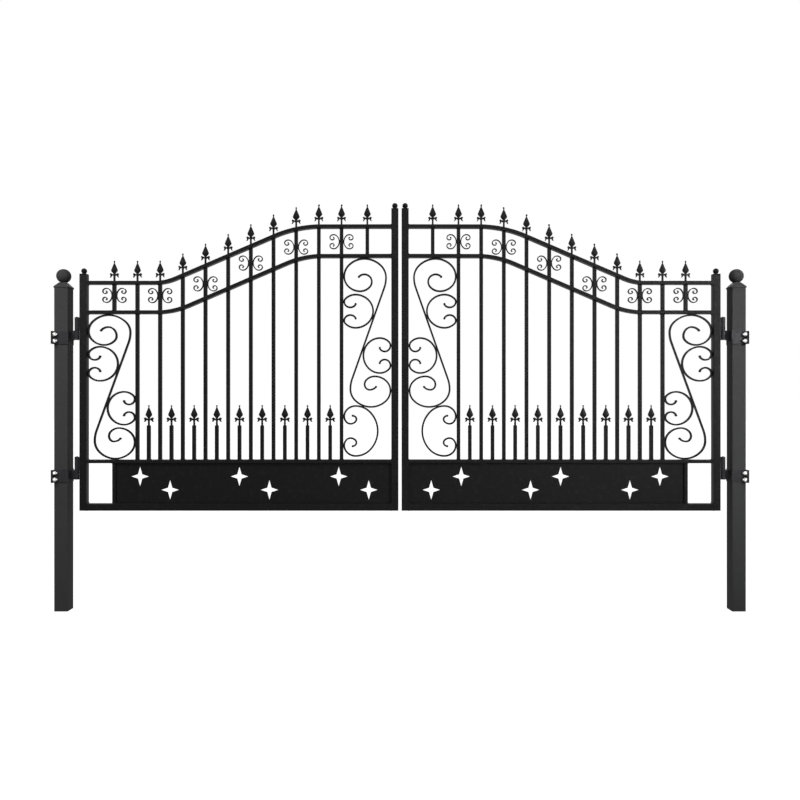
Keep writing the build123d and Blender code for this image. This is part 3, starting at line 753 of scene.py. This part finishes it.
for side in SIDES:
    tube = merged_copy(f"{side}_post")
    soften(tube, POST_CORNER, 4, lambda edge: runs_along(edge, 2))
    foot = [face for face in tube.faces if face.normal.z < DOWNWARDS]
    bmesh.ops.inset_region(tube, faces=foot, thickness=POST_WALL, depth=0)
    inside = bmesh.ops.extrude_discrete_faces(tube, faces=foot)["faces"]
    bmesh.ops.translate(tube, verts=inside[0].verts, vec=(0, 0, OPEN_END))
    make_piece(f"{side}_post_tube", tube, post_coat, "posts", [f"{side}_post"])
    cap = merged_copy(f"{side}_post_cap")
    soften(cap, POST_CAP_EDGE, 2)
    make_piece(f"{side}_post_cap_cast", cap, post_coat, "posts", [f"{side}_post_cap"])


# ---------------------------------------------------------------------------------------------
# Hinges and clamps: turned barrel knuckles on welded lugs, and bent plate clamps round the
# posts, in a harder and glossier paint.
# ---------------------------------------------------------------------------------------------

KNUCKLE_EDGE = 0.001
CLAMP_EDGE = 0.0008
CLAMPS = ("upper_clamp", "lower_clamp")

hinge_coat = powder_coat(
    "hinge_coat", dark=(0.024, 0.023, 0.027), light=(0.032, 0.031, 0.035),
    roughness=0.36, specular=0.10, dust_share=0.10,
)

for side in SIDES:
    node = f"{side}_hinge_knuckles"
    knuckles = merged_copy(node)
    soften(knuckles, KNUCKLE_EDGE, 2)
    make_piece(f"{node}_turned", knuckles, hinge_coat, f"{side}_leaf", [node])
    for part in CLAMPS:
        node = f"{side}_{part}"
        clamp = merged_copy(node)
        soften(clamp, CLAMP_EDGE, 2)
        make_piece(f"{node}_bent", clamp, hinge_coat, "posts", [node])


# ---------------------------------------------------------------------------------------------
# Hinge welds: a heavy bead runs down each side of every knuckle's lug where it meets the stile,
# under the hinges' own paint.
# ---------------------------------------------------------------------------------------------

HINGE_BEAD = 0.0026
BEAD_IN = 0.0010             # how far the bead's middle lies back from the stile
BEAD_OUT = 0.0008            # and how far it lies off the lug
BEAD_SHORT = 0.001           # the bead stops this far short of the lug's ends
LUG_END = 0.0005             # vertices this near the lug's welded end belong to it
TOWARDS_GATE = (("left", 1), ("right", -1))

for side, inward in TOWARDS_GATE:
    welds = bmesh.new()
    knuckles = merged_copy(f"{side}_hinge_knuckles")
    for knuckle in parts_of(knuckles):
        reach = max(inward * vert.co.x for vert in knuckle)
        lug = [vert.co for vert in knuckle if inward * vert.co.x > reach - LUG_END]
        low, high = min(s.z for s in lug), max(s.z for s in lug)
        for y, facing in ((min(s.y for s in lug), -1), (max(s.y for s in lug), 1)):
            middle = Vector((inward * (reach - BEAD_IN), y + facing * BEAD_OUT, (low + high) / 2))
            bead(
                welds, middle, Vector((0, 0, 1)), Vector((1, 0, 0)),
                (high - low) / 2 - BEAD_SHORT, HINGE_BEAD, HINGE_BEAD, rng,
            )
    knuckles.free()
    bmesh.ops.recalc_face_normals(welds, faces=welds.faces)
    make_piece(f"{side}_hinge_welds", welds, hinge_coat, f"{side}_leaf")


# ---------------------------------------------------------------------------------------------
# Clamp bolts: four M12 bright zinc bolts pull each clamp's outer plate onto its lugs.  The heads
# are let into the plate, and a washer, a nut and a thread end show on the gate's side.
# ---------------------------------------------------------------------------------------------

BOLT_RADIUS = 0.0060
BOLT_DEPTH = 0.0535          # in front of and behind the post's middle plane
BOLT_UP = (0.018, 0.054)     # above the clamp's lower edge
GRIP = 0.010                 # the outer plate and the lug together
HEAD_SUNK = 0.0001           # the head lies this far inside the plate's face
DIMPLE = 0.0006              # depth of the small dimple in the head, and its two radii
DIMPLE_FLOOR = 0.0030
DIMPLE_RIM = 0.0036
WASHER = 0.0025
WASHER_RADIUS = 0.0120
WASHER_EDGE = 0.0003
NUT = 0.0100
NUT_FLATS = 0.019
NUT_EDGE = 0.0008
THREAD_END = 0.0085
THREAD_DEPTH = 0.0009
THREAD_START = 0.001         # the thread begins this far inside the nut
BOLT_POINT = 0.0008
PITCH = 0.00175
SEAM = 0.000005              # closes the seams and poles of the turned shapes
GRAIN = (160.0, 3.0)         # scale and detail of the plating's grain
GRAIN_STRENGTH = 0.10
GRAIN_HEIGHT = 0.0003
ZINC_DARK = (0.80, 0.80, 0.78)
ZINC_LIGHT = (0.93, 0.93, 0.91)
ZINC_ROUGHNESS = (0.38, 0.55)


def turned(form, profile, steps):
    """Spins a profile of (along X, off the axis) points round the X axis."""
    verts = [form.verts.new((along, 0, off)) for along, off in profile]
    edges = [form.edges.new(pair) for pair in zip(verts, verts[1:])]
    bmesh.ops.spin(
        form, geom=verts + edges, cent=(0, 0, 0), axis=(1, 0, 0), angle=2 * math.pi, steps=steps,
        use_merge=True,
    )


def bolt_shank(form):
    """The shank through the plate and the lug, with the head's dimple at its outer end."""
    turned(form, [
        (DIMPLE, 0), (DIMPLE, DIMPLE_FLOOR), (HEAD_SUNK, DIMPLE_RIM), (HEAD_SUNK, BOLT_RADIUS),
        (GRIP, BOLT_RADIUS), (GRIP, 0),
    ], 20)


def washer(form, start):
    """A flat washer round the shank, with its outer edges broken."""
    rim = WASHER_RADIUS - WASHER_EDGE
    turned(form, [
        (start, BOLT_RADIUS), (start, rim), (start + WASHER_EDGE, WASHER_RADIUS),
        (start + WASHER - WASHER_EDGE, WASHER_RADIUS), (start + WASHER, rim),
        (start + WASHER, BOLT_RADIUS), (start, BOLT_RADIUS),
    ], 24)


def nut(form, start, turn):
    """A hexagon nut with broken edges, tightened to any angle."""
    radius = NUT_FLATS / math.sqrt(3)
    place = Matrix.Translation((start + NUT / 2, 0, 0)) @ Matrix.Rotation(math.pi / 2, 4, "Y")
    verts = bmesh.ops.create_cone(
        form, cap_ends=True, segments=6, radius1=radius, radius2=radius, depth=NUT, matrix=place,
    )["verts"]
    bmesh.ops.rotate(form, verts=verts, cent=(0, 0, 0), matrix=Matrix.Rotation(turn, 3, "X"))
    bmesh.ops.bevel(
        form, geom=edges_of(verts), offset=NUT_EDGE, affect="EDGES", segments=2, profile=0.5,
        material=-1, clamp_overlap=True,
    )


def thread(form, start):
    """The thread end beyond the nut, as plain grooves with a pointed tip."""
    root = BOLT_RADIUS - THREAD_DEPTH
    profile = [(start - THREAD_START, 0), (start - THREAD_START, root)]
    along = start
    while along < start + THREAD_END - PITCH:
        profile += [(along, root), (along + PITCH / 2, BOLT_RADIUS)]
        along += PITCH
    point = along + BOLT_POINT
    profile += [(along, root), (point, root - THREAD_DEPTH), (point, 0)]
    turned(form, profile, 16)


zinc = bpy.data.materials.new("zinc")
zinc.use_nodes = True
plating = zinc.node_tree
plated = plating.nodes["Principled BSDF"]
plated.inputs["Metallic"].default_value = 1.0
grain = object_noise(plating, *GRAIN)
zinc_tone = tinted(plating, grain, ZINC_DARK, ZINC_LIGHT)
zinc_sheen = ranged(plating, grain, *ZINC_ROUGHNESS)
zinc_bump = dimpled(plating, grain, GRAIN_STRENGTH, GRAIN_HEIGHT)
plating.links.new(zinc_tone, plated.inputs["Base Color"])
plating.links.new(zinc_sheen, plated.inputs["Roughness"])
plating.links.new(zinc_bump, plated.inputs["Normal"])

for side, inward in TOWARDS_GATE:
    for clamp in CLAMPS:
        low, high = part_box(f"{side}_{clamp}")
        outer = low.x if inward > 0 else high.x
        bolts = bmesh.new()
        for up in BOLT_UP:
            for depth in (-BOLT_DEPTH, BOLT_DEPTH):
                bolt = bmesh.new()
                bolt_shank(bolt)
                washer(bolt, GRIP)
                nut(bolt, GRIP + WASHER, rng.uniform(0, math.pi / 3))
                thread(bolt, GRIP + WASHER + NUT)
                bmesh.ops.remove_doubles(bolt, verts=bolt.verts, dist=SEAM)
                if inward < 0:
                    bmesh.ops.scale(bolt, verts=bolt.verts, vec=(-1, 1, 1))
                bmesh.ops.recalc_face_normals(bolt, faces=bolt.faces)
                bmesh.ops.translate(bolt, verts=bolt.verts, vec=(outer, depth, low.z + up))
                done = bpy.data.meshes.new("bolt")
                bolt.to_mesh(done)
                bolt.free()
                bolts.from_mesh(done)
                bpy.data.meshes.remove(done)
        make_piece(f"{side}_{clamp}_bolts", bolts, zinc, "posts")


corners = {"cad": [list(c) for c in cad_box], "shown": [list(c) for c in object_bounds()]}
